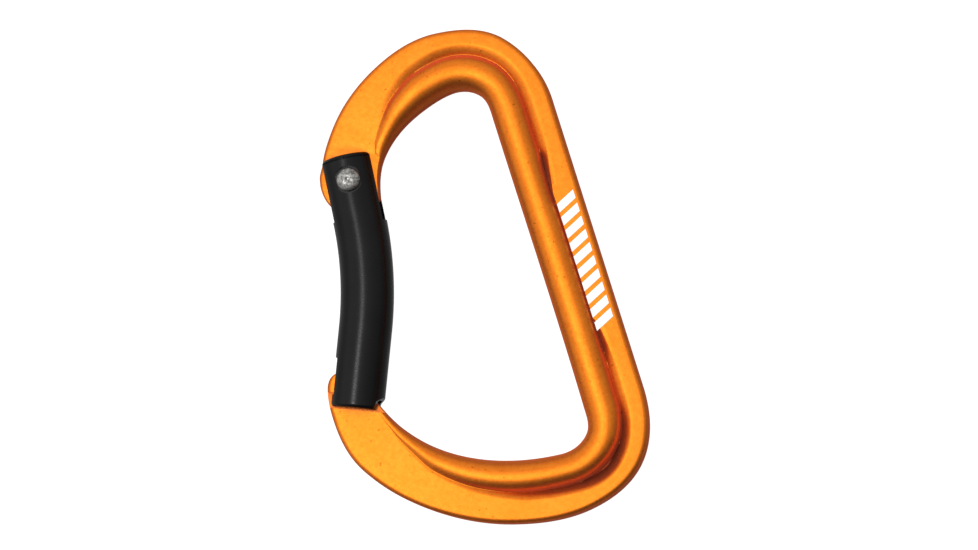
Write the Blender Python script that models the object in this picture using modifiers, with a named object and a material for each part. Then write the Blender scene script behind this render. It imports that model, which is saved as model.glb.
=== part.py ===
"""Bent-gate climbing carabiner, the metal end piece of a quickdraw: a forged frame, a bent rod gate, its pivot
rivet, and the spring and plunger inside the gate.

Sizes below are in millimetres in the plane of the carabiner: u runs across toward the spine, v runs up the spine
toward the hinge end, z is the thickness, and the pivot is at u = 0, v = 0, z = 0. place() turns them into metres,
with the origin at the middle of the bottom of the whole object.
"""

import math

import bmesh
import bpy
from mathutils import Matrix, Vector

# ---------------------------------------------------------------- sizes, millimetres
MID_U, MID_V = 12.83, -26.94  # the middle of the outline, which becomes X = 0, Y = 0
MID_Z = 5.9  # the height of the middle plane: a rivet head is the lowest point
GAP = 0.3  # between pieces that touch

# Frame outline: pairs of knots (u, v, heading in degrees) on the outer and the inner edge, from the tongue at
# the hinge, over the top, down the spine, along the bottom and up to the nose.
KNOTS = [
    ((0.1, -5.6, 180), (0.5, -5.6, -11)),
    ((-4.75, -4.35, 130), (2.3, -5.7, 6)),
    ((-6.15, 0.6, 87), (4.15, -5.2, 25)),
    ((-5.85, 2.4, 78), (4.6, -4.5, 78)),
    ((-4.5, 5.0, 66), (6.5, 0.8, 61)),
    ((-0.1, 11.65, 50), (8.95, 3.9, 45)),
    ((11.6, 20.3, 24.5), (16.95, 8.9, 20.5)),
    ((24.9, 23.0, -6), (24.2, 10.7, 4)),
    ((37.7, 17.7, -48.5), (29.6, 8.55, -49.5)),
    ((43.1, 3.6, -90), (30.75, 2.7, -90)),
    ((43.1, -56.7, -90), (30.75, -57.4, -91)),
    ((37.5, -72.0, -137), (29.7, -62.45, -131)),
    ((26.3, -76.75, -172), (23.7, -64.7, -185)),
    ((10.4, -74.9, -197), (14.3, -63.0, -196)),
    ((-6.5, -65.45, -220.5), (1.5, -56.7, -217.5)),
    ((-14.7, -55.8, -239), (-4.55, -50.45, -234)),
    ((-17.4, -45.5, -268), (-7.45, -45.3, -246)),
    ((-16.65, -38.0, -288), (-10.2, -38.85, -243)),
    ((-15.6, -36.35, -318), (-11.25, -36.8, -242)),
    ((-13.4, -35.65, -360), (-12.8, -35.65, -180)),
]
STEPS = [3, 3, 2, 3, 5, 9, 8, 10, 10, 26, 10, 9, 7, 9, 8, 6, 5, 3, 4]  # sections in each span between knots

BLUNT = 2.4  # the rib is a blunt oval: an ellipse would be 2
RIB_HIGH = 4.2  # half height of the round rope-bearing rib
FLANGE = 2.8  # half thickness of the flat outer flange
TONGUE = 1.95  # half thickness between the gate's cheeks at the hinge
NOSE = 2.3  # half thickness of the nose head
NECK = 1.5  # half thickness of the nose neck, which the gate's lips close on
EDGE = 0.9  # rounding of the outer edge
PAD_TOP, PAD_TOP_END = -5.5, -15.5  # the marking pad's slanted upper end, along the spine
PAD_LOW_END, PAD_LOW = -42.0, -52.5  # and its lower end, where the groove opens out again
PAD_EDGE = 7.15  # the pad begins this far from the inner edge

# What the section is at each knot number: from the inner edge to the rib's crest, from there to the foot of its
# outer flank, the crest's half height, where the groove's outer wall ends, how wide that wall is, how deep the
# groove is, and half the thickness of the flat plate.
SECTIONS = [
    (0.0, 0.20, 0.20, TONGUE, 0.5, 0.3, 0.0, TONGUE),
    (3.0, 0.20, 0.20, TONGUE, 0.5, 0.3, 0.0, TONGUE),
    (4.0, 0.70, 0.60, 2.00, 1.5, 0.6, 0.0, 1.97),
    (4.6, 1.20, 0.80, 2.08, 2.1, 0.8, 0.0, 2.02),
    (5.0, 1.70, 1.40, 2.32, 2.9, 1.2, 0.0, 2.10),
    (5.4, 2.40, 2.00, 2.90, 4.8, 2.2, 0.12, 2.30),
    (5.85, 3.30, 2.70, 3.70, 7.2, 3.0, 0.70, 2.50),
    (6.4, 4.00, 3.10, 4.15, 8.8, 4.0, 1.60, 2.70),
    (7.0, 4.05, 3.20, RIB_HIGH, 9.3, 3.8, 1.80, FLANGE),
    (8.0, 4.05, 3.20, RIB_HIGH, 9.3, 3.8, 1.80, FLANGE),
    (9.0, 4.05, 3.20, RIB_HIGH, 9.0, 3.4, 1.70, FLANGE),
    (10.0, 4.05, 3.20, RIB_HIGH, 8.9, 3.2, 1.75, FLANGE),
    (10.7, 3.95, 3.00, RIB_HIGH, 9.2, 3.2, 2.10, FLANGE),
    (11.3, 3.90, 2.75, RIB_HIGH, 9.4, 2.6, 2.00, FLANGE),
    (12.1, 3.70, 2.95, RIB_HIGH, 8.8, 3.0, 1.85, FLANGE),
    (12.85, 3.60, 3.00, 4.15, 8.2, 3.1, 1.40, FLANGE),
    (13.4, 3.40, 2.80, 3.90, 7.0, 2.8, 0.75, FLANGE),
    (14.0, 2.70, 2.20, 3.40, 5.2, 2.0, 0.20, 2.75),
    (14.6, 1.80, 1.30, 2.90, 3.3, 1.4, 0.10, 2.60),
    (15.3, 1.00, 0.80, 2.50, 1.8, 0.8, 0.0, 2.40),
    (16.2, 0.60, 0.60, NOSE, 1.2, 0.6, 0.0, NOSE),
    (19.0, 0.60, 0.60, NOSE, 1.2, 0.6, 0.0, NOSE),
]

# Gate: a bent rod. It leaves the hinge straight, bends by GATE_BEND and runs straight to the nose.
GATE_START = (0.48, 5.18)  # centre of its upper end
GATE_LEAN = 5.32  # degrees from the spine's direction, at the hinge
GATE_LENGTHS = (12.8, 15.95)  # the two straights
GATE_RADIUS, GATE_BEND = 71.3, 17.82  # of the bend, degrees
ROD = 5.32  # radius of the rod
HINGE_SLOT = 2.25  # half width of the fork at the hinge
HINGE_FLOOR = ((-9.5, -5.9), (8.6, -10.4))  # the floor of that fork
NOSE_SLOT, LIP = 2.6, 1.8  # half width of the nose pocket and, at its mouth, between the lips
LIP_START = 42.65  # the lips begin this far from the pivot
NOSE_FLOOR = ((-17.2, -25.05), (-4.95, -48.0))  # the floor of the nose slot
MAX_OPEN = 30.0  # degrees that the gate swings inward

# Rivet, plunger and spring
RIVET_R, RIVET_HOLE, HEAD_R = 1.5, 1.8, 2.35
SEAT_R, SEAT_Z = 2.75, 4.7  # flat seat for each rivet head
OFFSET = 1.6  # how far the plunger's axis passes from the pivot: its travel is this times the angle
CAM = 5.6  # from the pivot's level to the frame's cam, along that axis, with the gate closed
BORE_R, BORE_END = 2.0, 20.5
PLUNGER_R, PLUNGER_END = 1.7, 11.2
STEM_R, STEM_END = 0.85, 19.3
WIRE_R, COIL_R, COILS = 0.25, 1.4, 7.0
SPRING_START, SPRING_END = 11.8, 19.9  # centres of the first and last turns


# ---------------------------------------------------------------- helpers
def place(u, v, z=0.0):
    return Vector(((u - MID_U) / 1000, (v - MID_V) / 1000, (z + MID_Z) / 1000))


def material(name, colour, rough, metal):
    made = bpy.data.materials.new(name)
    made.use_nodes = True
    shader = made.node_tree.nodes["Principled BSDF"]
    shader.inputs["Base Color"].default_value = (*colour, 1.0)
    shader.inputs["Roughness"].default_value = rough
    shader.inputs["Metallic"].default_value = metal
    return made


def new_object(name, rings, collection, look=None, caps=True):
    """A closed skin over rings of points, each ring of the same length."""
    mesh = bpy.data.meshes.new(name)
    many = len(rings[0])
    points = [p for ring in rings for p in ring]
    faces = []
    for i in range(len(rings) - 1):
        for k in range(many):
            n = (k + 1) % many
            faces.append((i * many + k, i * many + n, (i + 1) * many + n, (i + 1) * many + k))
    if caps:
        faces.append(tuple(range(many))[::-1])
        faces.append(tuple((len(rings) - 1) * many + k for k in range(many)))
    mesh.from_pydata(points, [], faces)
    shape = bmesh.new()
    shape.from_mesh(mesh)
    bmesh.ops.recalc_face_normals(shape, faces=shape.faces)
    if shape.calc_volume(signed=True) < 0:
        bmesh.ops.reverse_faces(shape, faces=shape.faces)
    shape.to_mesh(mesh)
    shape.free()
    made = bpy.data.objects.new(name, mesh)
    collection.objects.link(made)
    if look:
        mesh.materials.append(look)
    return made


def prism(name, outline, low, high):
    """A cutter: a plan outline (u, v) between two heights."""
    made = new_object(name, [[place(u, v, z) for u, v in outline] for z in (low, high)], CUTTERS)
    made.hide_render = True
    made.display_type = "WIRE"
    return made


def rod_cutter(name, start, end, radius, sides):
    """A cutter: a round bar between two points (u, v, z)."""
    a, b = place(*start), place(*end)
    along = (b - a).normalized()
    side = along.orthogonal().normalized()
    other = along.cross(side)
    turns = [2 * math.pi * k / sides for k in range(sides)]
    ring = [(side * math.cos(t) + other * math.sin(t)) * radius / 1000 for t in turns]
    made = new_object(name, [[a + p for p in ring], [b + p for p in ring]], CUTTERS)
    made.hide_render = True
    made.display_type = "WIRE"
    return made


def cut(target, *cutters):
    for cutter in cutters:
        step = target.modifiers.new("cut_" + cutter.name, "BOOLEAN")
        step.operation = "DIFFERENCE"
        step.solver = "EXACT"
        step.object = cutter


def turned(name, profile, centre, along, side, steps, look):
    """A solid turned from (radius, distance along the axis) points, closed at both ends of the axis."""
    mesh = bpy.data.meshes.new(name)
    mesh.from_pydata([(r / 1000, 0, d / 1000) for r, d in profile], [(i, i + 1) for i in range(len(profile) - 1)], [])
    mesh.materials.append(look)
    made = bpy.data.objects.new(name, mesh)
    PARTS.objects.link(made)
    screw = made.modifiers.new("turn", "SCREW")
    screw.axis = "Z"
    screw.steps = screw.render_steps = steps
    screw.use_merge_vertices = True
    screw.merge_threshold = 0.00001
    screw.use_smooth_shade = True
    across = along.cross(side)
    axes = Matrix((side, across, along)).transposed().to_4x4()
    made.matrix_world = Matrix.Translation(centre) @ axes
    return made


# ---------------------------------------------------------------- frame
def bezier(a, b, share):
    """A point on the smooth curve between two knots (u, v, heading): close to a circular arc."""
    turn_a, turn_b = math.radians(a[2]), math.radians(b[2])
    bend = (turn_b - turn_a + math.pi) % (2 * math.pi) - math.pi
    handle = math.hypot(b[0] - a[0], b[1] - a[1]) / (3 * math.cos(bend / 4) ** 2)
    p0, p3 = Vector(a[:2]), Vector(b[:2])
    p1 = p0 + handle * Vector((math.cos(turn_a), math.sin(turn_a)))
    p2 = p3 - handle * Vector((math.cos(turn_b), math.sin(turn_b)))
    s, t = share, 1 - share
    return t ** 3 * p0 + 3 * t * t * s * p1 + 3 * t * s * s * p2 + s ** 3 * p3


def section_at(number):
    """The section's sizes at a knot number, on smooth curves through the rows of SECTIONS."""
    i = 0
    while i < len(SECTIONS) - 2 and number > SECTIONS[i + 1][0]:
        i += 1
    low, high = SECTIONS[i], SECTIONS[i + 1]
    before, after = SECTIONS[max(i - 1, 0)], SECTIONS[min(i + 2, len(SECTIONS) - 1)]
    span = high[0] - low[0]
    s = (number - low[0]) / span
    found = []
    for k in range(1, len(low)):
        step = (high[k] - low[k]) / span
        was = (low[k] - before[k]) / (low[0] - before[0]) if i else step
        then = (after[k] - high[k]) / (after[0] - high[0]) if after is not high else step
        m0 = 0 if was * step <= 0 else 2 * was * step / (was + step)
        m1 = 0 if then * step <= 0 else 2 * then * step / (then + step)
        found.append((2 * s ** 3 - 3 * s * s + 1) * low[k] + (s ** 3 - 2 * s * s + s) * span * m0
                     + (3 * s * s - 2 * s ** 3) * high[k] + (s ** 3 - s * s) * span * m1)
    return found


def ease(x):
    x = min(1.0, max(0.0, x))
    return x * x * (3 - 2 * x)


def smooth_max(a, b, blend):
    near = max(blend - abs(a - b), 0.0)
    return max(a, b) + near * near / (4 * blend)


def rounded(distance, high, radius):
    """Height at this distance from an edge whose corner has the radius."""
    radius = min(radius, high)
    left = radius - min(max(distance, 0.0), radius)
    return high - radius + math.sqrt(max(radius * radius - left * left, 0.0))


def pad_share(v):
    """How far the marking pad reaches over the groove at this place along the spine: 1 is right up to the rib."""
    low = min(1.0, max(0.0, (PAD_LOW_END - v) / (PAD_LOW_END - PAD_LOW)))
    return min(1.0, max(0.0, (PAD_TOP - v) / (PAD_TOP - PAD_TOP_END)), 1 - math.sqrt(low))


def half_section(number, inner, outer, to_tip):
    """(share across, half height) points over the top of one section, from the inner edge to the outer one."""
    wide = (outer - inner).length
    crest, fall, rib_high, wall_end, wall, deep, plate = section_at(number)
    blend = 0.5  # how softly the rib runs into the groove
    if 9.0 <= number <= 10.0:
        share = pad_share(inner.y)
        wall_end += (PAD_EDGE - wall_end) * share
        wall += (1.9 - 1.4 * share - wall) * min(1.0, 4 * share)
        blend += (0.1 - blend) * min(1.0, 4 * share)
        fall -= 0.3 * ease((PAD_TOP - 1.0 - inner.y) / 4.0) * ease((inner.y - PAD_TOP_END + 5.5) / 5.5)
    low_side = ease((number - 10) / 0.5)  # the wall starts more sharply past the spine's low end
    edge = min(EDGE if number > 4 else 0.4 + 0.125 * number, 0.45 * wide)
    crest, fall = min(crest, 0.35 * wide), min(fall, 0.3 * wide)
    wall_end = min(wall_end, wide - edge - 0.2 * (wide - edge - crest))
    wall = min(wall, 0.8 * (wall_end - crest))
    flank = min(crest + 0.68 * fall, 0.5 * (crest + wall_end))  # where the rib runs down into the groove
    places = [crest * (1 - math.cos(math.pi / 2 * k / 5)) for k in range(6)]
    places += [crest + (flank - crest) * k / 3 for k in range(1, 4)]
    places += [flank + (wall_end - flank) * k / 5 for k in range(1, 6)]
    places += [wide - edge]
    places += [wide - edge * (1 - math.sin(math.pi / 2 * k / 4)) for k in range(1, 5)]
    found = []
    for t in places:
        over = max(0.0, 1 - abs((t - crest) / (crest if t < crest else fall)) ** BLUNT)
        high = rib_high * over ** (1 / BLUNT)
        if t > crest:
            down = min(1.0, max(0.0, (wall_end - t) / wall))
            web = plate - deep * (down ** 1.5 + (ease(down) - down ** 1.5) * low_side)
            high = min(smooth_max(high, web, blend), max(rib_high, plate))
        high = min(high, rounded(wide - t, max(high, plate), edge))
        point = inner + (outer - inner) * (t / wide)
        if number < 9:  # room for the gate's cheeks to swing
            high = min(high, TONGUE + max(0.0, point.length - 7.4) * 0.6)
        high = min(high, rounded(to_tip, high, 0.9 if number > 9 else 0.3))
        found.append((t / wide, high))
    return found


def frame_rings():
    """The frame's sections from the tongue to the nose."""
    stations = []
    for span, steps in enumerate(STEPS):
        for k in range(steps + (span == len(STEPS) - 1)):
            share = k / steps
            outer = bezier(KNOTS[span][0], KNOTS[span + 1][0], share)
            inner = bezier(KNOTS[span][1], KNOTS[span + 1][1], share)
            stations.append((span + share, inner, outer))
    rings = []
    start = (stations[0][1] + stations[0][2]) / 2
    end = (stations[-1][1] + stations[-1][2]) / 2
    for number, inner, outer in stations:
        middle = (inner + outer) / 2
        to_tip = (middle - start).length if number < 9 else (middle - end).length
        top = half_section(number, inner, outer, to_tip + 0.25)
        spots = [(inner + (outer - inner) * share, high) for share, high in top]
        ring = [place(spot.x, spot.y, high) for spot, high in spots]
        first = 0 if spots[0][1] > 0.01 else 1  # the inner edge of the rib is a single point
        ring += [place(spot.x, spot.y, -high) for spot, high in spots[:first - 1 if first else None:-1]]
        rings.append(ring)
    return rings


# ---------------------------------------------------------------- gate
def gate_path(bend_steps):
    """Centres and directions along the gate's rod: a straight, a bend and a straight."""
    lean = math.radians(GATE_LEAN)
    centre = Vector(GATE_START)
    path = [(centre.copy(), lean)]
    centre = centre + GATE_LENGTHS[0] * Vector((-math.sin(lean), -math.cos(lean)))
    hub = centre + GATE_RADIUS * Vector((-math.cos(lean), math.sin(lean)))
    for k in range(bend_steps + 1):
        turned_to = lean + math.radians(GATE_BEND) * k / bend_steps
        path.append((hub + GATE_RADIUS * Vector((math.cos(turned_to), -math.sin(turned_to))), turned_to))
    last = path[-1][0] + GATE_LENGTHS[1] * Vector((-math.sin(turned_to), -math.cos(turned_to)))
    path.append((last, turned_to))
    return path


def rod_rings(path, sides, top_edge, low_edge, edge_steps):
    """Rings of the rod, with its two end edges rounded."""
    rings = []

    def ring(centre, lean, radius, shift=0.0):
        along = Vector((-math.sin(lean), -math.cos(lean)))
        across = Vector((math.cos(lean), -math.sin(lean)))
        spot = centre + along * shift
        found = []
        for k in range(sides):
            turn = 2 * math.pi * (k + 0.5) / sides
            at = spot + across * radius * math.cos(turn)
            found.append(place(at.x, at.y, radius * math.sin(turn)))
        rings.append(found)

    angles = [math.pi / 2 * k / edge_steps for k in range(edge_steps + 1)]
    for t in angles:
        ring(*path[0], ROD - top_edge * (1 - math.sin(t)), top_edge * (1 - math.cos(t)))
    for centre, lean in path[1:-1]:
        ring(centre, lean, ROD)
    for t in reversed(angles):
        ring(*path[-1], ROD - low_edge * (1 - math.sin(t)), -low_edge * (1 - math.cos(t)))
    return rings


# ---------------------------------------------------------------- build
for old in list(bpy.data.objects):
    bpy.data.objects.remove(old, do_unlink=True)
PARTS = bpy.data.collections.new("carabiner")
CUTTERS = bpy.data.collections.new("cutters")
for group in (PARTS, CUTTERS):
    bpy.context.scene.collection.children.link(group)

ORANGE = material("orange_anodised_aluminium", (0.82, 0.30, 0.03), 0.42, 0.85)
BLACK = material("black_anodised_aluminium", (0.012, 0.012, 0.013), 0.38, 0.6)
STEEL = material("rivet_steel", (0.42, 0.41, 0.39), 0.4, 1.0)
SPRING_STEEL = material("spring_steel", (0.55, 0.55, 0.56), 0.3, 1.0)
BRIGHT_STEEL = material("plunger_steel", (0.60, 0.60, 0.60), 0.25, 1.0)

frame = new_object("frame", frame_rings(), PARTS, ORANGE)

path = gate_path(12)
end_centre, end_lean = path[-1]
end_along = Vector((-math.sin(end_lean), -math.cos(end_lean)))
end_across = Vector((math.cos(end_lean), -math.sin(end_lean)))
step_line = [end_centre + end_along * 0.35 + end_across * side for side in (-9.0, 9.0)]
arc = [Vector((math.cos(a), math.sin(a))) * (LIP_START - 0.4) for a in
       [math.radians(-93 - 25 * k / 12) for k in range(13)]]
neck_outline = [tuple(p) for p in arc] + [tuple(p) for p in step_line]
cut(frame,
    rod_cutter("rivet_hole_in_frame", (0, 0, -8), (0, 0, 8), RIVET_HOLE, 32),
    prism("neck_above", neck_outline, NECK, 8.0),
    prism("neck_below", neck_outline, -8.0, -NECK))

gate = new_object("gate", rod_rings(path, 48, 1.0, 0.7, 3), PARTS, BLACK)
lean = math.radians(GATE_LEAN)
bore_along = Vector((-math.sin(lean), -math.cos(lean)))
bore_side = Vector((math.cos(lean), -math.sin(lean)))
bore_at = bore_side * OFFSET


def on_bore(distance):
    spot = bore_at + bore_along * distance
    return spot.x, spot.y, 0.0


slot_area = [NOSE_FLOOR[0], NOSE_FLOOR[1], (-12.0, -56.0), (-28.0, -48.0), (-26.0, -30.0)]
floor_from, floor_to = Vector(NOSE_FLOOR[0]), Vector(NOSE_FLOOR[1])
reach = [floor_from + (floor_to - floor_from) * k / 200 for k in range(201)]
inside = [p for p in reach if p.length < LIP_START]
pocket_arc = [Vector((math.cos(a), math.sin(a))) * LIP_START for a in
              [math.atan2(inside[-1].y, inside[-1].x) - math.radians(24) * k / 12 for k in range(13)]]
pocket_area = [tuple(floor_from)] + [tuple(p) for p in pocket_arc] + [(-26.0, -30.0)]
cut(gate,
    prism("hinge_slot", [HINGE_FLOOR[0], HINGE_FLOOR[1], (9.0, 12.0), (-9.0, 12.0)], -HINGE_SLOT, HINGE_SLOT),
    prism("nose_mouth", slot_area, -LIP, LIP),
    prism("nose_pocket", pocket_area, -NOSE_SLOT, NOSE_SLOT),
    prism("end_trim", [(-9.8, -47.6), (-8.9, -45.0), (-7.85, -43.7), (-5.45, -42.9), (-2.4, -49.7)], -8.0, 8.0),
    rod_cutter("rivet_hole_in_gate", (0, 0, -8), (0, 0, 8), RIVET_HOLE, 32),
    rod_cutter("seat_above", (0, 0, SEAT_Z), (0, 0, 8), SEAT_R, 40),
    rod_cutter("seat_below", (0, 0, -8), (0, 0, -SEAT_Z), SEAT_R, 40),
    rod_cutter("spring_bore", on_bore(4.0), on_bore(BORE_END), BORE_R, 28))

DOME = [(0.35, 0.78), (0.5, 0.87), (0.9, 0.84), (1.5, 0.70), (1.95, 0.50), (2.2, 0.33), (HEAD_R, 0.12), (HEAD_R, 0.0)]
under = SEAT_Z + GAP
top_side = [(0.0, under + 0.72)] + [(r, under + d) for r, d in DOME] + [(RIVET_R, under)]
rivet = turned("pivot_rivet", top_side + [(r, -d) for r, d in reversed(top_side)], place(0, 0, 0),
               Vector((0, 0, 1)), Vector((1, 0, 0)), 32, STEEL)

down = Vector((bore_along.x, bore_along.y, 0))
nose_first = CAM + GAP
plunger_profile = [(0.0, -nose_first), (1.35, -nose_first), (PLUNGER_R, -nose_first - 0.35),
                   (PLUNGER_R, -PLUNGER_END), (STEM_R, -PLUNGER_END), (STEM_R, -STEM_END + 0.3),
                   (STEM_R - 0.25, -STEM_END), (0.0, -STEM_END)]
plunger = turned("spring_plunger", plunger_profile, place(bore_at.x, bore_at.y, 0), -down,
                 Vector((0, 0, 1)), 24, BRIGHT_STEEL)

coil = bpy.data.curves.new("gate_spring", "CURVE")
coil.dimensions = "3D"
coil.bevel_depth = WIRE_R / 1000
coil.bevel_resolution = 2
coil.use_fill_caps = True
per_turn = 14
count = int(COILS * per_turn)
line = coil.splines.new("POLY")
line.points.add(count)
for k in range(count + 1):
    turns = k / per_turn
    # the end turns lie nearly closed, and the turns between them share the rest of the length evenly
    closed = 0.62 * (min(turns, 1.0) + max(turns - (COILS - 1), 0.0))
    opened = max(min(turns, COILS - 1) - 1.0, 0.0) * (SPRING_END - SPRING_START - 1.24) / (COILS - 2)
    middle = bore_at + bore_along * (SPRING_START + closed + opened)
    spin = 2 * math.pi * turns
    spot = middle + bore_side * COIL_R * math.cos(spin)
    line.points[k].co = (*place(spot.x, spot.y, COIL_R * math.sin(spin)), 1.0)
spring = bpy.data.objects.new("gate_spring", coil)
PARTS.objects.link(spring)
coil.materials.append(SPRING_STEEL)

# Empties on the two joint axes: the gate, the rivet and the spring ride on the hinge, and the plunger slides
# along the bore, which itself rides on the gate.
hinge = bpy.data.objects.new("gate_hinge_axis", None)
slide = bpy.data.objects.new("plunger_slide_axis", None)
for empty in (hinge, slide):
    PARTS.objects.link(empty)
hinge.location = place(0, 0, 0)
slide.location = place(bore_at.x, bore_at.y, 0)
bpy.context.view_layer.update()
for child, parent in ((gate, hinge), (rivet, hinge), (spring, hinge), (slide, hinge), (plunger, slide)):
    keep = child.matrix_world.copy()
    child.parent = parent
    child.matrix_parent_inverse = parent.matrix_world.inverted()
    child.matrix_world = keep
    bpy.context.view_layer.update()
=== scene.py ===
import math

import bmesh
import bpy
from mathutils import Matrix, Vector


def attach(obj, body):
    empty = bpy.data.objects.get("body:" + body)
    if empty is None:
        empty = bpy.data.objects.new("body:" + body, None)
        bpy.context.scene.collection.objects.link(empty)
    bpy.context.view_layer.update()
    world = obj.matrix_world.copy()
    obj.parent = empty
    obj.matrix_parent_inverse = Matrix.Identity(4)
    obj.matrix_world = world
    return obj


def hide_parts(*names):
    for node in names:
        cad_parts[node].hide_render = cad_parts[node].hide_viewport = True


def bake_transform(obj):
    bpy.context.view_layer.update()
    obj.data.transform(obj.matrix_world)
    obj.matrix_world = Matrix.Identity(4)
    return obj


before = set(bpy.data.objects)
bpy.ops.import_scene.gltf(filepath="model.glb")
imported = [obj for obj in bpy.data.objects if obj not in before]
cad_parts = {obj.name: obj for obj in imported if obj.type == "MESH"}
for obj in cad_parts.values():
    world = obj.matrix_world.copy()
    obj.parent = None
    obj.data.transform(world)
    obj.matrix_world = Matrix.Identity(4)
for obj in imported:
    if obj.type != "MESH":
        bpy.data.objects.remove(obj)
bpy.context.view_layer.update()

# Sizes are in millimetres in the plane of the carabiner, as in the CAD: u runs across toward the spine, v up
# the spine toward the hinge end, z is the thickness, and the pivot is at 0, 0, 0. place() makes them metres.
MID_U, MID_V = 12.83, -26.94
MID_Z = 5.9

# ---------------------------------------------------------------- frame outline and sections
# The frame runs from the hinge tongue over the top bend, down the spine (knots 9 to 10), round the lower bend
# and up to the nose. Each knot is (u, v, heading in degrees) on the outer edge, then the same on the inner.
KNOTS = [
    ((0.1, -5.6, 180), (0.5, -5.6, -11)),
    ((-4.75, -4.35, 130), (2.3, -5.7, 6)),
    ((-6.15, 0.6, 87), (4.15, -5.2, 25)),
    ((-5.85, 2.4, 78), (4.6, -4.5, 78)),
    ((-4.5, 5.0, 66), (6.5, 0.8, 61)),
    ((-0.1, 11.65, 50), (8.95, 3.9, 45)),
    ((11.6, 20.3, 24.5), (16.95, 8.9, 20.5)),
    ((24.9, 23.0, -6), (24.2, 10.7, 4)),
    ((37.7, 17.7, -48.5), (29.6, 8.55, -49.5)),
    ((43.1, 3.6, -90), (30.75, 2.7, -90)),
    ((43.1, -56.7, -90), (30.75, -57.4, -91)),
    ((37.5, -72.0, -137), (29.7, -62.45, -131)),
    ((26.3, -76.75, -172), (23.7, -64.7, -185)),
    ((10.4, -74.9, -197), (14.3, -63.0, -196)),
    ((-6.5, -65.45, -220.5), (1.5, -56.7, -217.5)),
    ((-14.7, -55.8, -239), (-4.55, -50.45, -234)),
    ((-17.4, -45.5, -268), (-7.45, -45.3, -246)),
    ((-16.65, -38.0, -288), (-10.2, -38.85, -243)),
    ((-15.6, -36.35, -318), (-11.25, -36.8, -242)),
    ((-13.4, -35.65, -360), (-12.8, -35.65, -180)),
]
STEPS = [10, 10, 8, 8, 16, 30, 36, 40, 44, 150, 44, 34, 36, 46, 40, 24, 26, 12, 14]

RIB_HIGH = 4.2
BLUNT = 2.4  # the rib is a blunt oval: an ellipse would be 2
FLANGE, TONGUE, NOSE, NECK = 2.8, 1.95, 2.3, 1.5
EDGE = 0.9  # rounding of the outer edge
BLEND = 0.5  # how softly the rib runs into the groove
PAD_TOP, PAD_TOP_END = -5.5, -15.5  # along v, where the marking pad starts and is full at its top end
PAD_LOW_END, PAD_LOW = -42.0, -52.5  # and the same at its low end
PAD_EDGE = 7.15  # how near to the inner edge it reaches
PAD_WALL, PAD_BLEND = 0.5, 0.1  # the groove's wall and the blend where the pad is full
PAD_WALL_START = 1.9  # and the wall where the pad starts
TIP_ROUND, TONGUE_ROUND = 0.9, 0.3  # rounding of the frame's two ends
CHEEK_REACH, CHEEK_SLOPE = 7.4, 0.6  # the gate's cheeks swing inside this reach of the pivot

# At each knot number: from the inner edge to the rib's crest, from there to the foot of its outer flank, the
# crest's half height, where the groove's outer wall ends, how wide that wall is, how deep the groove is, and
# half the thickness of the flat plate.
SECTIONS = [
    (0.0, 0.20, 0.20, TONGUE, 0.5, 0.3, 0.0, TONGUE),
    (3.0, 0.20, 0.20, TONGUE, 0.5, 0.3, 0.0, TONGUE),
    (4.0, 0.70, 0.60, 2.00, 1.5, 0.6, 0.0, 1.97),
    (4.6, 1.20, 0.80, 2.08, 2.1, 0.8, 0.0, 2.02),
    (5.0, 1.70, 1.40, 2.32, 2.9, 1.2, 0.0, 2.10),
    (5.4, 2.40, 2.00, 2.90, 4.8, 2.2, 0.12, 2.30),
    (5.85, 3.30, 2.70, 3.70, 7.2, 3.0, 0.70, 2.50),
    (6.4, 4.00, 3.10, 4.15, 8.8, 4.0, 1.60, 2.70),
    (7.0, 4.05, 3.20, RIB_HIGH, 9.3, 3.8, 1.80, FLANGE),
    (8.0, 4.05, 3.20, RIB_HIGH, 9.3, 3.8, 1.80, FLANGE),
    (9.0, 4.05, 3.20, RIB_HIGH, 9.0, 3.4, 1.70, FLANGE),
    (10.0, 4.05, 3.20, RIB_HIGH, 8.9, 3.2, 1.75, FLANGE),
    (10.7, 3.95, 3.00, RIB_HIGH, 9.2, 3.2, 2.10, FLANGE),
    (11.3, 3.90, 2.75, RIB_HIGH, 9.4, 2.6, 2.00, FLANGE),
    (12.1, 3.70, 2.95, RIB_HIGH, 8.8, 3.0, 1.85, FLANGE),
    (12.85, 3.60, 3.00, 4.15, 8.2, 3.1, 1.40, FLANGE),
    (13.4, 3.40, 2.80, 3.90, 7.0, 2.8, 0.75, FLANGE),
    (14.0, 2.70, 2.20, 3.40, 5.2, 2.0, 0.20, 2.75),
    (14.6, 1.80, 1.30, 2.90, 3.3, 1.4, 0.10, 2.60),
    (15.3, 1.00, 0.80, 2.50, 1.8, 0.8, 0.0, 2.40),
    (16.2, 0.60, 0.60, NOSE, 1.2, 0.6, 0.0, NOSE),
    (19.0, 0.60, 0.60, NOSE, 1.2, 0.6, 0.0, NOSE),
]

RIB_PARTS, FLANK_PARTS, GROOVE_PARTS, FLAT_PARTS, EDGE_PARTS = 18, 8, 22, 4, 10  # faces across a section

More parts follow.
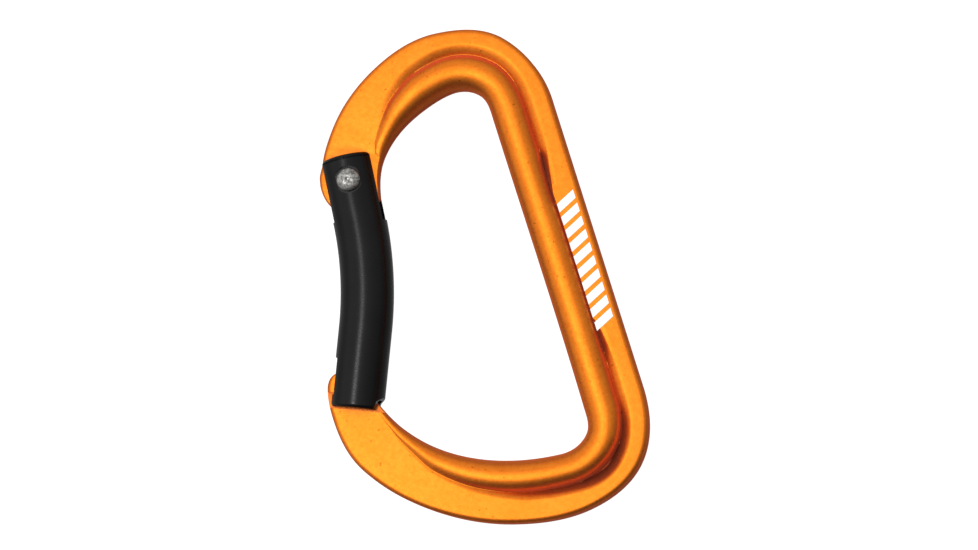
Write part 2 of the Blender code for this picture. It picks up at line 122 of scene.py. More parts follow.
# ---------------------------------------------------------------- gate and small parts
GATE_START = (0.48, 5.18)
GATE_LEAN = 5.32  # degrees
GATE_LENGTHS = (12.8, 15.95)  # of the straight ends
GATE_RADIUS, GATE_BEND = 71.3, 17.82  # of the bend, in millimetres and degrees
ROD = 5.32  # the rod's radius
ROD_SIDES = 160
ROD_TOP_ROUND, ROD_LOW_ROUND = 1.0, 0.7
HINGE_SLOT = 2.25  # half heights of the slots
HINGE_FLOOR = ((-9.5, -5.9), (8.6, -10.4))
NOSE_SLOT, LIP = 2.6, 1.8
LIP_START = 42.65  # from the pivot
NOSE_FLOOR = ((-17.2, -25.05), (-4.95, -48.0))
CORNER_CUT = [(-9.8, -47.6), (-8.9, -45.0), (-7.85, -43.7), (-5.45, -42.9), (-2.4, -49.7)]
THROUGH = 8.0  # past the thickness of everything
RIVET_R, RIVET_HOLE, HEAD_R = 1.5, 1.8, 2.35
SEAT_R, SEAT_Z, GAP = 2.75, 4.7, 0.3
OFFSET, CAM = 1.6, 5.6  # the bore's line passes the pivot at this offset, and the cam is this far along it
BORE_R, BORE_START, BORE_END = 2.0, 4.0, 20.5
PLUNGER_R, PLUNGER_END = 1.7, 11.2
STEM_R, STEM_END = 0.85, 19.3
WIRE_R, COIL_R, COILS = 0.25, 1.4, 7.0
COIL_STEPS = 40  # points to a turn
CLOSED_TURN = 0.62  # pitch of the closed turn at each end
SPRING_START, SPRING_END = 11.8, 19.9

# ---------------------------------------------------------------- plain white mark
BARS, BAR_TOP, BAR_PITCH, BAR_WIDE, BAR_SLANT = 10, -17.4, 2.75, 1.75, 0.9
BAR_INNER, BAR_OUTER = 38.0, 41.9
INK_LOW, INK_HIGH = FLANGE - 0.02, FLANGE + 0.025

# ---------------------------------------------------------------- light and view
FLOOR_GLOW = 1.0
FLOOR_REACH = 2.0  # metres
TENT_OPENING = (-0.8, 0.06)  # where the tent begins and is full, along Y
TENT_LIGHT = (0.08, 0.98)  # its light at those two places
TENT_RIGHT = (-0.1, 1.0, 1.0, 0.6)  # from here to there along X, it falls from the one share to the other
TENT_RISE = (-0.15, 0.5)  # where the tent is lowest and full, along Z
TENT_LOW = 0.25  # how much is left at the ground
GROUND_LIGHT = 0.17  # light that comes back up from the ground, all around
GROUND_FADE = (-0.15, 0.2)  # and where it starts to fade and ends, along Z
KEY_TOWARD, KEY_POWER = (-0.235, 0.045, 0.97), 0.9
KEY_DISTANCE, KEY_SIZE = 0.7, 0.13  # metres
SENSOR, LENS = 36.0, 200.0
TILT, TILT_TOWARD = 9.5, -57.4  # how far the camera leans off straight down, and toward where
ROLL = 17.77  # the spine's lean in the view, degrees
FIELD = 194.0  # width of the view at the object, millimetres
AIM = (20.65, -26.27)  # the view's middle


def place(u, v, z=0.0):
    return Vector(((u - MID_U) / 1000, (v - MID_V) / 1000, (z + MID_Z) / 1000))


def direction(degrees):
    return Vector((math.cos(math.radians(degrees)), math.sin(math.radians(degrees))))


def clamp(x):
    return min(1.0, max(0.0, x))


def ease(x):
    x = clamp(x)
    return x * x * (3 - 2 * x)


def add(name, data):
    """A new object of that data, in the scene."""
    made = bpy.data.objects.new(name, data)
    bpy.context.scene.collection.objects.link(made)
    return made


# ---------------------------------------------------------------- mesh helpers
def mesh_object(name, rings):
    """A closed skin over rings of points, each of the same length, with a cap on the first and the last."""
    mesh = bpy.data.meshes.new(name)
    many = len(rings[0])
    points = [p for ring in rings for p in ring]
    faces = []
    for i in range(len(rings) - 1):
        for k in range(many):
            n = (k + 1) % many
            faces.append((i * many + k, i * many + n, (i + 1) * many + n, (i + 1) * many + k))
    faces.append(tuple(range(many))[::-1])
    faces.append(tuple((len(rings) - 1) * many + k for k in range(many)))
    mesh.from_pydata(points, [], faces)
    shape = bmesh.new()
    shape.from_mesh(mesh)
    bmesh.ops.recalc_face_normals(shape, faces=shape.faces)
    if shape.calc_volume(signed=True) < 0:
        bmesh.ops.reverse_faces(shape, faces=shape.faces)
    shape.to_mesh(mesh)
    shape.free()
    return add(name, mesh)


def prism(outline, low, high):
    return mesh_object("cutter", [[place(u, v, z) for u, v in outline] for z in (low, high)])


def rod_cutter(start, end, radius, sides=96):
    a, b = place(*start), place(*end)
    along = (b - a).normalized()
    side = along.orthogonal().normalized()
    other = along.cross(side)
    turns = [2 * math.pi * k / sides for k in range(sides)]
    ring = [(side * math.cos(t) + other * math.sin(t)) * radius / 1000 for t in turns]
    return mesh_object("cutter", [[a + p for p in ring], [b + p for p in ring]])


def cut_all(target, cutters):
    """Takes the cutters out of the target, applies that and removes them."""
    for cutter in cutters:
        step = target.modifiers.new("cut", "BOOLEAN")
        step.operation = "DIFFERENCE"
        step.solver = "MANIFOLD"
        step.object = cutter
    graph = bpy.context.evaluated_depsgraph_get()
    done = bpy.data.meshes.new_from_object(target.evaluated_get(graph))
    target.modifiers.clear()
    old = target.data
    target.data = done
    bpy.data.meshes.remove(old)
    for cutter in cutters:
        bpy.data.objects.remove(cutter, do_unlink=True)


def smooth_with_sharp(made, degrees):
    made.data.shade_smooth()
    made.data.set_sharp_from_angle(angle=math.radians(degrees))


def clean(made, distance=1e-6):
    shape = bmesh.new()
    shape.from_mesh(made.data)
    bmesh.ops.remove_doubles(shape, verts=shape.verts, dist=distance)
    bmesh.ops.dissolve_degenerate(shape, edges=shape.edges, dist=distance)
    shape.to_mesh(made.data)
    shape.free()


def turned(name, profile, centre, along, side, steps):
    """A closed solid turned from (radius, distance) points in millimetres. Its first and last radius is 0."""
    across = along.cross(side)
    rings = []
    for r, d in profile[1:-1]:
        spot = centre + along * d / 1000
        turns = [2 * math.pi * k / steps for k in range(steps)]
        rings.append([spot + (side * math.cos(t) + across * math.sin(t)) * r / 1000 for t in turns])
    made = mesh_object(name, rings)
    shape = bmesh.new()
    shape.from_mesh(made.data)
    shape.faces.ensure_lookup_table()
    for face, end in ((shape.faces[-2], profile[0]), (shape.faces[-1], profile[-1])):
        poked = bmesh.ops.poke(shape, faces=[face])
        poked["verts"][0].co = centre + along * end[1] / 1000
    bmesh.ops.recalc_face_normals(shape, faces=shape.faces)
    shape.to_mesh(made.data)
    shape.free()
    return made


def rounded_profile(corners, radius, steps=5):
    """Corners of a profile, each sharp turn rounded with the radius."""
    found = [corners[0]]
    for before, here, after in zip(corners, corners[1:], corners[2:]):
        b, h, a = Vector(before), Vector(here), Vector(after)
        reach = min(radius, (b - h).length * 0.45, (a - h).length * 0.45)
        start, end = h + (b - h).normalized() * reach, h + (a - h).normalized() * reach
        for k in range(steps + 1):
            t = k / steps
            found.append(tuple((1 - t) ** 2 * start + 2 * t * (1 - t) * h + t * t * end))
    return found + [corners[-1]]


# ---------------------------------------------------------------- frame shape
def bezier(a, b, share):
    """A point on the smooth curve between two (u, v, heading) knots."""
    turn_a, turn_b = math.radians(a[2]), math.radians(b[2])
    bend = (turn_b - turn_a + math.pi) % (2 * math.pi) - math.pi
    handle = math.hypot(b[0] - a[0], b[1] - a[1]) / (3 * math.cos(bend / 4) ** 2)
    p0, p3 = Vector(a[:2]), Vector(b[:2])
    p1, p2 = p0 + handle * direction(a[2]), p3 - handle * direction(b[2])
    s, t = share, 1 - share
    return t ** 3 * p0 + 3 * t * t * s * p1 + 3 * t * s * s * p2 + s ** 3 * p3


def section_at(number):
    """The section's sizes at a knot number, on smooth curves through the rows of SECTIONS."""
    i = 0
    while i < len(SECTIONS) - 2 and number > SECTIONS[i + 1][0]:
        i += 1
    low, high = SECTIONS[i], SECTIONS[i + 1]
    before, after = SECTIONS[max(i - 1, 0)], SECTIONS[min(i + 2, len(SECTIONS) - 1)]
    span = high[0] - low[0]
    s = (number - low[0]) / span
    found = []
    for k in range(1, len(low)):
        step = (high[k] - low[k]) / span
        was = (low[k] - before[k]) / (low[0] - before[0]) if i else step
        then = (after[k] - high[k]) / (after[0] - high[0]) if after is not high else step
        m0 = 0 if was * step <= 0 else 2 * was * step / (was + step)
        m1 = 0 if then * step <= 0 else 2 * then * step / (then + step)
        found.append((2 * s ** 3 - 3 * s * s + 1) * low[k] + (s ** 3 - 2 * s * s + s) * span * m0
                     + (3 * s * s - 2 * s ** 3) * high[k] + (s ** 3 - s * s) * span * m1)
    return found


def smooth_max(a, b, blend):
    """The larger of a and b, with a soft fillet of that size where they meet."""
    near = max(blend - abs(a - b), 0.0)
    return max(a, b) + near * near / (4 * blend)


def rounded(distance, high, radius):
    """The half height at a distance in from an edge that is rounded with the radius."""
    radius = min(radius, high)
    left = radius - min(max(distance, 0.0), radius)
    return high - radius + math.sqrt(max(radius * radius - left * left, 0.0))


def pad_share(v):
    """How far the marking pad reaches over the groove at v along the spine. At 1 it is up to the rib."""
    low = clamp((PAD_LOW_END - v) / (PAD_LOW_END - PAD_LOW))
    return min(clamp((PAD_TOP - v) / (PAD_TOP - PAD_TOP_END)), 1 - math.sqrt(low))


def half_section(number, inner, outer, to_tip):
    """(share across, half height) points over the top of one section, from the inner edge to the outer."""
    wide = (outer - inner).length
    crest, fall, rib_high, wall_end, wall, deep, plate = section_at(number)
    blend = BLEND
    if 9.0 <= number <= 10.0:
        share = pad_share(inner.y)
        wall_end += (PAD_EDGE - wall_end) * share
        wall += (PAD_WALL_START + (PAD_WALL - PAD_WALL_START) * share - wall) * clamp(4 * share)
        blend += (PAD_BLEND - blend) * clamp(4 * share)
        fall -= 0.3 * ease((PAD_TOP - 1.0 - inner.y) / 4.0) * ease((inner.y - PAD_TOP_END + 5.5) / 5.5)
    low_side = ease((number - 10) / 0.5)  # the wall starts more sharply past the spine's low end
    edge = min(EDGE if number > 4 else 0.4 + 0.125 * number, 0.45 * wide)
    crest, fall = min(crest, 0.35 * wide), min(fall, 0.3 * wide)
    wall_end = min(wall_end, wide - edge - 0.2 * (wide - edge - crest))
    wall = min(wall, 0.8 * (wall_end - crest))
    flank = min(crest + 0.68 * fall, 0.5 * (crest + wall_end))  # where the rib runs down into the groove
    places = [crest * (1 - math.cos(math.pi / 2 * k / RIB_PARTS)) for k in range(RIB_PARTS + 1)]
    places += [crest + (flank - crest) * k / FLANK_PARTS for k in range(1, FLANK_PARTS + 1)]
    places += [flank + (wall_end - flank) * k / GROOVE_PARTS for k in range(1, GROOVE_PARTS + 1)]
    flat_end = wide - edge
    places += [wall_end + (flat_end - wall_end) * k / FLAT_PARTS for k in range(1, FLAT_PARTS + 1)]
    places += [wide - edge * (1 - math.sin(math.pi / 2 * k / EDGE_PARTS)) for k in range(1, EDGE_PARTS + 1)]
    found = []
    for t in places:
        over = max(0.0, 1 - abs((t - crest) / (crest if t < crest else fall)) ** BLUNT)
        high = rib_high * over ** (1 / BLUNT)
        if t > crest:
            down = clamp((wall_end - t) / wall)
            web = plate - deep * (down ** 1.5 + (ease(down) - down ** 1.5) * low_side)
            high = min(smooth_max(high, web, blend), max(rib_high, plate))
        high = min(high, rounded(wide - t, max(high, plate), edge))
        point = inner + (outer - inner) * (t / wide)
        if number < 9:  # room for the gate's cheeks to swing
            high = min(high, TONGUE + max(0.0, point.length - CHEEK_REACH) * CHEEK_SLOPE)
        high = min(high, rounded(to_tip, high, TIP_ROUND if number > 9 else TONGUE_ROUND))
        found.append((t / wide, high))
    return found


def frame_rings():
    """A ring of points round each section, from the tongue to the nose."""
    stations = []
    for span, steps in enumerate(STEPS):
        for k in range(steps + (span == len(STEPS) - 1)):
            share = k / steps
            stations.append((span + share, bezier(KNOTS[span][1], KNOTS[span + 1][1], share),
                             bezier(KNOTS[span][0], KNOTS[span + 1][0], share)))
    rings = []
    start = (stations[0][1] + stations[0][2]) / 2
    end = (stations[-1][1] + stations[-1][2]) / 2
    for number, inner, outer in stations:
        middle = (inner + outer) / 2
        to_tip = (middle - start).length if number < 9 else (middle - end).length
        spots = [(inner + (outer - inner) * share, high)
                 for share, high in half_section(number, inner, outer, to_tip + 0.25)]
        ring = [place(spot.x, spot.y, high) for spot, high in spots]
        ring += [place(spot.x, spot.y, -high) for spot, high in spots[:0:-1]]
        rings.append(ring)
    return rings


# ---------------------------------------------------------------- gate shape
def gate_path(straight_steps, bend_steps):
    """(point, lean) along the rod's middle: straight, a bend, and straight again."""
    lean = math.radians(GATE_LEAN)
    start = Vector(GATE_START)
    along = Vector((-math.sin(lean), -math.cos(lean)))
    path = [(start + along * GATE_LENGTHS[0] * k / straight_steps, lean) for k in range(straight_steps)]
    hub = start + GATE_LENGTHS[0] * along + GATE_RADIUS * Vector((-math.cos(lean), math.sin(lean)))
    for k in range(bend_steps + 1):
        angle = lean + math.radians(GATE_BEND) * k / bend_steps
        path.append((hub + GATE_RADIUS * Vector((math.cos(angle), -math.sin(angle))), angle))
    corner, angle = path[-1]
    along = Vector((-math.sin(angle), -math.cos(angle)))
    return path + [(corner + along * GATE_LENGTHS[1] * k / straight_steps, angle)
                   for k in range(1, straight_steps + 1)]


def rod_rings(path, sides, top_edge, low_edge, edge_steps):
    """Round rings along the path, drawn in at both ends to round those edges."""
    rings = []

    def ring(centre, lean, radius, shift=0.0):
        along = Vector((-math.sin(lean), -math.cos(lean)))
        across = Vector((math.cos(lean), -math.sin(lean)))
        spot = centre + along * shift
        found = []
        for k in range(sides):
            turn = 2 * math.pi * (k + 0.5) / sides
            at = spot + across * radius * math.cos(turn)
            found.append(place(at.x, at.y, radius * math.sin(turn)))
        rings.append(found)

    angles = [math.pi / 2 * k / edge_steps for k in range(edge_steps + 1)]
    for t in angles:
        ring(*path[0], ROD - top_edge * (1 - math.sin(t)), top_edge * (1 - math.cos(t)))
    for centre, lean in path[1:-1]:
        ring(centre, lean, ROD)
    for t in reversed(angles):
        ring(*path[-1], ROD - low_edge * (1 - math.sin(t)), -low_edge * (1 - math.cos(t)))
    return rings


# ---------------------------------------------------------------- materials
def new_material(name, colour, rough, metal):
    """A new Principled material and what is needed to build on it."""
    made = bpy.data.materials.new(name)
    made.use_nodes = True
    nodes, links = made.node_tree.nodes, made.node_tree.links
    shader = nodes["Principled BSDF"]
    shader.inputs["Base Color"].default_value = (*colour, 1.0)
    shader.inputs["Roughness"].default_value = rough
    shader.inputs["Metallic"].default_value = metal
    return made, nodes, links, shader


def noise(nodes, links, scale, detail=2.0, rough=0.5):
    """A noise texture in object space, whose scale is per metre."""
    where = nodes.new("ShaderNodeTexCoord")
    made = nodes.new("ShaderNodeTexNoise")
    made.inputs["Scale"].default_value = scale
    made.inputs["Detail"].default_value = detail
    made.inputs["Roughness"].default_value = rough
    links.new(where.outputs["Object"], made.inputs["Vector"])
    return made.outputs["Fac"]


def ramp(nodes, links, source, stops):
    made = nodes.new("ShaderNodeValToRGB")
    while len(made.color_ramp.elements) < len(stops):
        made.color_ramp.elements.new(0.5)
    for element, (spot, colour) in zip(made.color_ramp.elements, stops):
        element.position = spot
        element.color = (*colour, 1.0) if isinstance(colour, tuple) else (colour, colour, colour, 1.0)
    links.new(source, made.inputs["Fac"])
    return made.outputs["Color"]


def bump(nodes, links, shader, source, distance, strength, after=None):
    made = nodes.new("ShaderNodeBump")
    made.inputs["Distance"].default_value = distance
    made.inputs["Strength"].default_value = strength
    links.new(source, made.inputs["Height"])
    if after:
        links.new(after, made.inputs["Normal"])
    links.new(made.outputs["Normal"], shader.inputs["Normal"])
    return made.outputs["Normal"]


def darkened(nodes, links, colour, source, amount, start, dark, end):
    """The colour, multiplied by dark where the source is below start and untouched where it is above end."""
    shade = ramp(nodes, links, source, [(start, dark), (end, (1.0, 1.0, 1.0))])
    made = nodes.new("ShaderNodeMix")
    made.data_type = "RGBA"
    made.blend_type = "MULTIPLY"
    made.inputs["Factor"].default_value = amount
    links.new(colour, made.inputs["A"])
    links.new(shade, made.inputs["B"])
    return made.outputs["Result"]


def half_height(nodes, links):
    """How far above or below the middle plane the surface is, where 1 is 4 mm."""
    parts = nodes.new("ShaderNodeSeparateXYZ")
    links.new(nodes.new("ShaderNodeTexCoord").outputs["Object"], parts.inputs["Vector"])
    height = parts.outputs["Z"]
    for operation, value in (("SUBTRACT", MID_Z / 1000), ("ABSOLUTE", 0.0), ("MULTIPLY", 250.0)):
        step = nodes.new("ShaderNodeMath")
        step.operation = operation
        step.inputs[1].default_value = value
        links.new(height, step.inputs[0])
        height = step.outputs["Value"]
    return height


def orange_metal():
    made, nodes, links, shader = new_material("orange_anodised", (0.9, 0.235, 0.018), 0.5, 1.0)
    shader.inputs["Specular Tint"].default_value = (0.9, 0.36, 0.28, 1.0)
    shader.inputs["Sheen Weight"].default_value = 0.8  # the fine blasting scatters light on the steep sides
    shader.inputs["Sheen Roughness"].default_value = 0.6
    shader.inputs["Sheen Tint"].default_value = (1.0, 0.25, 0.12, 1.0)
    broad = noise(nodes, links, 120, 3.0, 0.55)
    grain = noise(nodes, links, 2300, 3.0, 0.75)
    tone = ramp(nodes, links, broad, [(0.3, (0.88, 0.235, 0.0165)), (0.7, (0.92, 0.256, 0.0205))])
    mottle = noise(nodes, links, 1100, 2.0, 0.6)
    dents = noise(nodes, links, 1500, 0.0, 0.4)
    # Painted shade: this ambient occlusion darkens the corners and creases below.
    corner = nodes.new("ShaderNodeAmbientOcclusion")
    corner.samples = 8
    corner.inputs["Distance"].default_value = 0.0045
    colour = darkened(nodes, links, tone, mottle, 1.0, 0.36, (0.96, 0.87, 0.78), 0.62)
    colour = darkened(nodes, links, colour, grain, 0.85, 0.32, (0.80, 0.77, 0.72), 0.62)
    colour = darkened(nodes, links, colour, dents, 0.7, 0.16, (0.45, 0.35, 0.3), 0.20)
    # Painted shade: ambient occlusion darkens the colour in the corners and creases, where shade falls.
    colour = darkened(nodes, links, colour, corner.outputs["AO"], 1.0, 0.4, (0.62, 0.66, 1.4), 0.9)
    # Painted shade: the colour is darker low down, near the middle plane, on the walls and in the groove.
    colour = darkened(nodes, links, colour, half_height(nodes, links), 1.0, 0.26, (0.52, 0.46, 1.3), 0.48)
    links.new(colour, shader.inputs["Base Color"])
    links.new(ramp(nodes, links, grain, [(0.3, 0.37), (0.7, 0.46)]), shader.inputs["Roughness"])
    fine = bump(nodes, links, shader, grain, 0.00005, 0.3)
    bump(nodes, links, shader, noise(nodes, links, 900, 2.0, 0.5), 0.00006, 0.12, fine)
    return made


def black_metal():
    made, nodes, links, shader = new_material("black_anodised", (0.003, 0.003, 0.0032), 0.3, 0.0)
    shader.inputs["Specular IOR Level"].default_value = 0.23
    grain = noise(nodes, links, 3000, 2.0, 0.7)
    links.new(ramp(nodes, links, noise(nodes, links, 260, 3.0), [(0.3, (0.0022, 0.0022, 0.0024)),
                                                                (0.7, (0.0042, 0.0040, 0.0042))]),
              shader.inputs["Base Color"])
    links.new(ramp(nodes, links, grain, [(0.35, 0.21), (0.65, 0.31)]), shader.inputs["Roughness"])
    bump(nodes, links, shader, grain, 0.00002, 0.13)
    return made


def rivet_metal():
    made, nodes, links, shader = new_material("rivet_metal", (0.5, 0.49, 0.47), 0.4, 1.0)
    blotch = noise(nodes, links, 1700, 3.0, 0.6)
    links.new(ramp(nodes, links, blotch, [(0.38, (0.16, 0.155, 0.145)), (0.60, (0.46, 0.45, 0.43))]),
              shader.inputs["Base Color"])
    links.new(ramp(nodes, links, blotch, [(0.3, 0.5), (0.7, 0.3)]), shader.inputs["Roughness"])
    bump(nodes, links, shader, noise(nodes, links, 2600, 3.0, 0.6), 0.00008, 0.5)
    return made


def steel(name, colour, rough, scale):
    made, nodes, links, shader = new_material(name, colour, rough, 1.0)
    drawn = noise(nodes, links, scale, 2.0, 0.5)
    dark = tuple(c * 0.85 for c in colour)
    links.new(ramp(nodes, links, drawn, [(0.3, dark), (0.7, colour)]), shader.inputs["Base Color"])
    bump(nodes, links, shader, drawn, 0.00001, 0.3)
    return made


def glowing_ink():
    made, nodes, links, shader = new_material("white_ink_glowing", (0.95, 0.95, 0.94), 0.55, 0.0)
    # Painted light: the ink glows a little, though it is no lamp, so the print stays bright white.
    shader.inputs["Emission Color"].default_value = (1.0, 1.0, 1.0, 1.0)
    shader.inputs["Emission Strength"].default_value = 0.35
    links.new(ramp(nodes, links, noise(nodes, links, 3000, 2.0), [(0.3, (0.88, 0.88, 0.87)),
                                                                 (0.6, (0.97, 0.97, 0.96))]),
              shader.inputs["Base Color"])
    bump(nodes, links, shader, noise(nodes, links, 5000, 2.0), 0.00001, 0.3)
    return made


def give(made, look, body, slot, *nodes):
    """A finished piece gets its material and, if one is given, its body, and the CAD nodes it stands in for
    are hidden. The slot is not used.
    """
    made.data.materials.clear()
    made.data.materials.append(look)
    if body:
        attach(made, body)
    if nodes:
        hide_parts(*nodes)
    return made


# ---------------------------------------------------------------- frame
# The nose is cut down to a neck between the gate's lip, an arc round the pivot, and the gate's end.
body = mesh_object("frame_shell", frame_rings())
path = gate_path(20, 60)
end_centre, end_lean = path[-1]
end_along = Vector((-math.sin(end_lean), -math.cos(end_lean)))
end_across = Vector((math.cos(end_lean), -math.sin(end_lean)))
step_line = [tuple(end_centre + end_along * 0.35 + end_across * side) for side in (-9.0, 9.0)]
arc = [tuple(direction(-93 - 25 * k / 60) * (LIP_START - 0.4)) for k in range(61)]
cut_all(body, [rod_cutter((0, 0, -THROUGH), (0, 0, THROUGH), RIVET_HOLE),
               prism(arc + step_line, NECK, THROUGH), prism(arc + step_line, -THROUGH, -NECK)])
clean(body)
smooth_with_sharp(body, 38)
give(body, orange_metal(), "frame", "orange_anodised_aluminium", "frame")

# ---------------------------------------------------------------- gate
lean = math.radians(GATE_LEAN)
bore_along = Vector((-math.sin(lean), -math.cos(lean)))
bore_side = Vector((math.cos(lean), -math.sin(lean)))
bore_at = bore_side * OFFSET


def on_bore(distance):
    spot = bore_at + bore_along * distance
    return spot.x, spot.y, 0.0


floor_from, floor_to = Vector(NOSE_FLOOR[0]), Vector(NOSE_FLOOR[1])
reach = [floor_from + (floor_to - floor_from) * k / 400 for k in range(401)]
inside = [p for p in reach if p.length < LIP_START][-1]
lip_turn = math.degrees(math.atan2(inside.y, inside.x))
pocket = [tuple(floor_from)] + [tuple(direction(lip_turn - 24 * k / 60) * LIP_START) for k in range(61)]
rod = mesh_object("gate_rod", rod_rings(path, ROD_SIDES, ROD_TOP_ROUND, ROD_LOW_ROUND, 10))
cut_all(rod, [
    prism([HINGE_FLOOR[0], HINGE_FLOOR[1], (9.0, 12.0), (-9.0, 12.0)], -HINGE_SLOT, HINGE_SLOT),
    prism([NOSE_FLOOR[0], NOSE_FLOOR[1], (-12.0, -56.0), (-28.0, -48.0), (-26.0, -30.0)], -LIP, LIP),
    prism(pocket + [(-26.0, -30.0)], -NOSE_SLOT, NOSE_SLOT),
    prism(CORNER_CUT, -THROUGH, THROUGH),
    rod_cutter((0, 0, -THROUGH), (0, 0, THROUGH), RIVET_HOLE),
    rod_cutter((0, 0, SEAT_Z), (0, 0, THROUGH), SEAT_R),
    rod_cutter((0, 0, -THROUGH), (0, 0, -SEAT_Z), SEAT_R),
    rod_cutter(on_bore(BORE_START), on_bore(BORE_END), BORE_R)])
clean(rod)
smooth_with_sharp(rod, 30)
give(rod, black_metal(), "gate", "black_anodised_aluminium", "gate")

# ---------------------------------------------------------------- rivet, plunger and spring
under = SEAT_Z + GAP
dome = [(0.0, 0.70), (0.25, 0.72), (0.42, 0.80), (0.62, 0.85), (1.0, 0.82), (1.5, 0.69), (1.95, 0.48),
        (2.2, 0.31), (2.33, 0.14), (HEAD_R, 0.06), (HEAD_R - 0.03, 0.01), (HEAD_R - 0.12, 0.0),
        (RIVET_R, 0.0)]
top_side = [(r, under + d) for r, d in dome]
rivet = turned("rivet_turned", top_side + [(r, -d) for r, d in reversed(top_side)], place(0, 0, 0),
               Vector((0, 0, 1)), Vector((1, 0, 0)), 96)
smooth_with_sharp(rivet, 40)
give(rivet, rivet_metal(), "gate", "rivet_steel", "pivot_rivet")

tip = CAM + GAP
corners = [(0.0, tip), (1.35, tip), (PLUNGER_R, tip + 0.35), (PLUNGER_R, PLUNGER_END),
           (STEM_R, PLUNGER_END), (STEM_R, STEM_END - 0.3), (STEM_R - 0.25, STEM_END), (0.0, STEM_END)]
down = Vector((bore_along.x, bore_along.y, 0))
plunger = turned("plunger_turned", rounded_profile(corners, 0.08), place(bore_at.x, bore_at.y, 0), down,
                 Vector((0, 0, 1)), 72)
smooth_with_sharp(plunger, 40)
give(plunger, steel("plunger_metal", (0.62, 0.62, 0.61), 0.28, 3000), "plunger", "plunger_steel",
     "spring_plunger")

coil = bpy.data.curves.new("spring_coil", "CURVE")
coil.dimensions = "3D"
coil.bevel_depth = WIRE_R / 1000
coil.bevel_resolution = 5
coil.use_fill_caps = True
count = int(COILS * COIL_STEPS)
line = coil.splines.new("POLY")
line.points.add(count)
for k in range(count + 1):
    turns = k / COIL_STEPS
    closed = CLOSED_TURN * (min(turns, 1.0) + max(turns - (COILS - 1), 0.0))
    pitch = (SPRING_END - SPRING_START - 2 * CLOSED_TURN) / (COILS - 2)
    opened = max(min(turns, COILS - 1) - 1.0, 0.0) * pitch
    middle = bore_at + bore_along * (SPRING_START + closed + opened)
    spin = 2 * math.pi * turns
    spot = middle + bore_side * COIL_R * math.cos(spin)
    line.points[k].co = (*place(spot.x, spot.y, COIL_R * math.sin(spin)), 1.0)
drawn = add("spring_line", coil)
wire = bpy.data.meshes.new_from_object(drawn.evaluated_get(bpy.context.evaluated_depsgraph_get()))
bpy.data.objects.remove(drawn)
spring = add("spring_coil", wire)
clean(spring)
give(spring, steel("spring_metal", (0.55, 0.55, 0.56), 0.3, 2500), None, "spring_steel", "gate_spring")
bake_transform(spring)  # its placement is baked into its mesh; this script does not shorten it as the plunger is pushed in

# ---------------------------------------------------------------- plain white mark on the pad
shape = bmesh.new()
for k in range(BARS):
    low_v, high_v = (BAR_TOP - BAR_PITCH * k + half for half in (-BAR_WIDE / 2, BAR_WIDE / 2))
    outline = [(BAR_INNER, low_v - BAR_SLANT), (BAR_OUTER, low_v + BAR_SLANT),
               (BAR_OUTER, high_v + BAR_SLANT), (BAR_INNER, high_v - BAR_SLANT)]
    low = [shape.verts.new(place(u, v, INK_LOW)) for u, v in outline]
    high = [shape.verts.new(place(u, v, INK_HIGH)) for u, v in outline]
    shape.faces.new(low[::-1])
    shape.faces.new(high)
    for side in range(4):
        after = (side + 1) % 4
        shape.faces.new((low[side], low[after], high[after], high[side]))
bmesh.ops.recalc_face_normals(shape, faces=shape.faces)
ink_mesh = bpy.data.meshes.new("white_mark")
shape.to_mesh(ink_mesh)
shape.free()
mark = add("white_mark", ink_mesh)
give(mark, glowing_ink(), "frame", "orange_anodised_aluminium")

# ---------------------------------------------------------------- floor, light and camera
floor_mesh = bpy.data.meshes.new("floor")
corners = [(x * FLOOR_REACH, y * FLOOR_REACH, 0) for x, y in ((-1, -1), (1, -1), (1, 1), (-1, 1))]
floor_mesh.from_pydata(corners, [], [(0, 1, 2, 3)])
floor = add("floor", floor_mesh)
pale, nodes, links, shader = new_material("floor_white", (0.25, 0.25, 0.25), 0.9, 0.0)
shader.inputs["Specular IOR Level"].default_value = 0.0
shader.inputs["Emission Color"].default_value = (1.0, 1.0, 1.0, 1.0)
shader.inputs["Emission Strength"].default_value = FLOOR_GLOW
floor_mesh.materials.append(pale)
floor.visible_glossy = False  # the metal reflects the dim lower part of the world instead
floor.visible_diffuse = False

world = bpy.data.worlds.new("studio")
bpy.context.scene.world = world
world.use_nodes = True
nodes, links = world.node_tree.nodes, world.node_tree.links
sky = nodes["Background"]
where = nodes.new("ShaderNodeTexCoord")
parts = nodes.new("ShaderNodeSeparateXYZ")
links.new(where.outputs["Generated"], parts.inputs["Vector"])


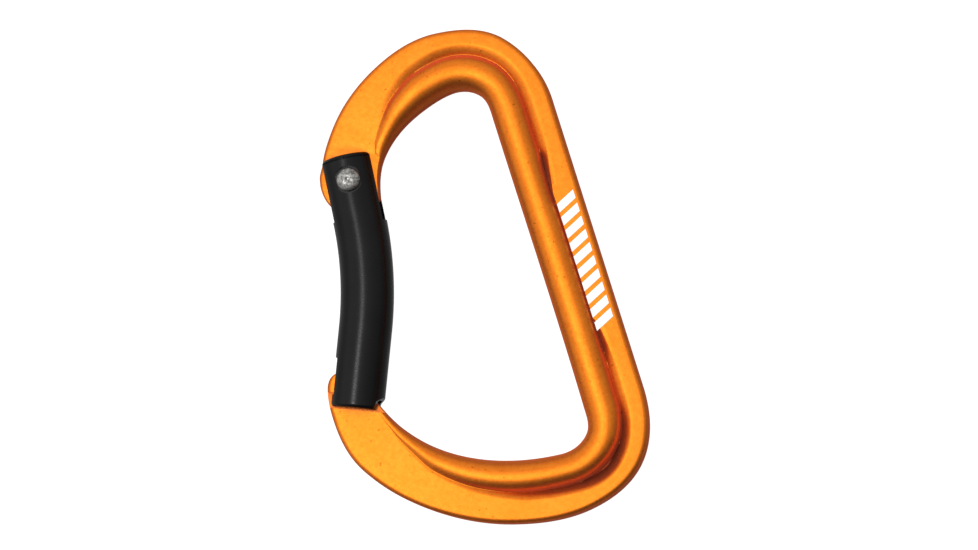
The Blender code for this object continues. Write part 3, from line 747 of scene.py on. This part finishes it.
def eased(source, start, end, low, high):
    made = nodes.new("ShaderNodeMapRange")
    made.interpolation_type = "SMOOTHSTEP"
    for name, value in (("From Min", start), ("From Max", end), ("To Min", low), ("To Max", high)):
        made.inputs[name].default_value = value
    links.new(source, made.inputs["Value"])
    return made.outputs["Result"]


# A big soft tent of light over the object, open and dark on its lower side and dimmer toward the ground.
strength = eased(parts.outputs["Y"], *TENT_OPENING, *TENT_LIGHT)
for share in (eased(parts.outputs["Z"], *TENT_RISE, TENT_LOW, 1.0), eased(parts.outputs["X"], *TENT_RIGHT)):
    product = nodes.new("ShaderNodeMath")
    product.operation = "MULTIPLY"
    links.new(strength, product.inputs[0])
    links.new(share, product.inputs[1])
    strength = product.outputs["Value"]
added = nodes.new("ShaderNodeMath")
links.new(strength, added.inputs[0])
links.new(eased(parts.outputs["Z"], *GROUND_FADE, GROUND_LIGHT, 0.0), added.inputs[1])
links.new(added.outputs["Value"], sky.inputs["Strength"])
sky.inputs["Color"].default_value = (1.0, 1.0, 1.0, 1.0)

lamp = bpy.data.lights.new("key_light", "AREA")
lamp.shape = "SQUARE"
lamp.size = KEY_SIZE
lamp.energy = KEY_POWER
key_light = add("key_light", lamp)
way = Vector(KEY_TOWARD).normalized()
key_light.location = Vector((0.005, 0, 0.006)) + way * KEY_DISTANCE
key_light.rotation_euler = way.to_track_quat("Z", "Y").to_euler()

camera_data = bpy.data.cameras.new("camera")
camera = add("camera", camera_data)
bpy.context.scene.camera = camera
camera_data.sensor_width = SENSOR
camera_data.lens = LENS
camera_data.clip_start = 0.05
toward = Vector((*direction(TILT_TOWARD), 0.0))
lean_over = Matrix.Rotation(math.radians(TILT), 3, Vector((0, 0, 1)).cross(toward))
right = lean_over @ Vector((*direction(-ROLL), 0.0))
up = lean_over @ Vector((*direction(90.0 - ROLL), 0.0))
back = lean_over @ Vector((0.0, 0.0, 1.0))
camera.matrix_world = (Matrix.Translation(place(*AIM) + back * FIELD / 1000 * LENS / SENSOR)
                       @ Matrix((right, up, back)).transposed().to_4x4())

bpy.context.scene.view_settings.view_transform = "Standard"
bpy.context.scene.view_settings.look = "None"
